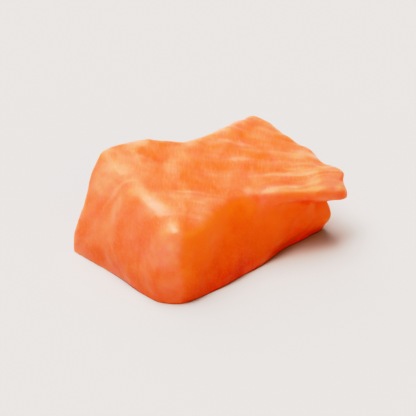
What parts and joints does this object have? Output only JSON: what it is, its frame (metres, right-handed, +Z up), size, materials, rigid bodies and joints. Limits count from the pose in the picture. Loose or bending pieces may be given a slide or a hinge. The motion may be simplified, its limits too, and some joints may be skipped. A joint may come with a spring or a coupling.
{
  "type": "salmon poke cube",
  "caption": "Soft-edged block of raw orange salmon, cut for a poke bowl, with pale curved sheets of fat in its faces and one torn corner that overhangs.",
  "frame": {"origin": "on the flat cut underside, under the middle of the block's bounding box", "axes": "+X along the long cut side towards the torn corner's end, +Z up out of the flat underside; the long cut side faces -Y and the short one -X"},
  "size_m": [0.0374, 0.031, 0.0156],
  "materials": {
    "salmon_flesh": "moist orange muscle with pale fat lines, wet sheen"
  },
  "bodies": {
    "root": {"salmon_cube": "salmon_flesh"}
  },
  "joints": []
}
